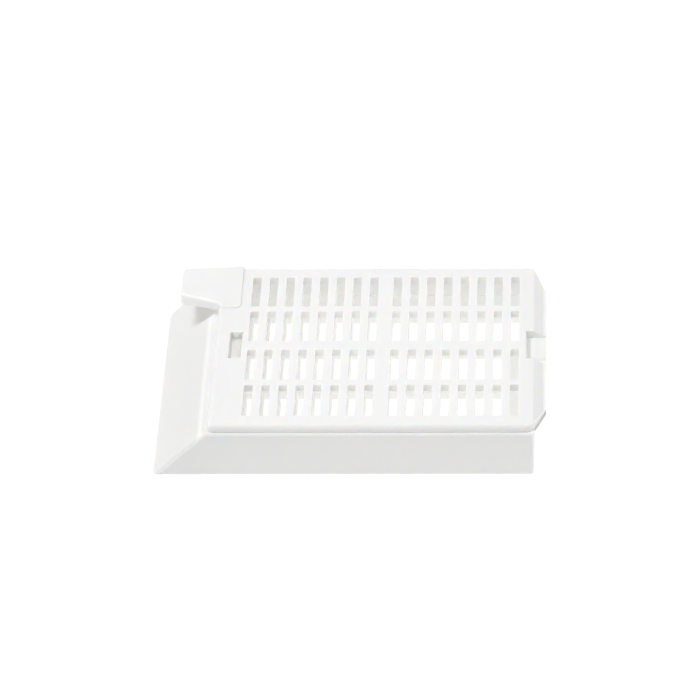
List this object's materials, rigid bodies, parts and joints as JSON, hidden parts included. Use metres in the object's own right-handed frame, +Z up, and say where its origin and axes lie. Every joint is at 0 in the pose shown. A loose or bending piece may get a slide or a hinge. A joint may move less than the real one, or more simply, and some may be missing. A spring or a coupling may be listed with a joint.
{
  "type": "tissue cassette",
  "caption": "White moulded tissue cassette: slotted tray with a sloped label panel, closed by a slotted lid that snaps shut and has a corner finger tab.",
  "frame": {"origin": "middle of the closed cassette's footprint, on its underside", "axes": "+X along the cassette from the label slope towards the end where the lid pivots, +Y across it towards the finger tab, +Z up"},
  "size_m": [0.0412, 0.0284, 0.0066],
  "materials": {
    "white_acetal": "satin moulded acetal, slightly translucent in thin sections"
  },
  "bodies": {
    "base": {"base": "white_acetal"},
    "lid": {"lid": "white_acetal"}
  },
  "joints": [
    {"name": "lid_hinge", "type": "hinge", "parent": "base", "child": "lid", "pos_m": [0.02057, 0, 0.0055], "axis": [0, 1, 0], "range_deg": [0, 110]}
  ]
}
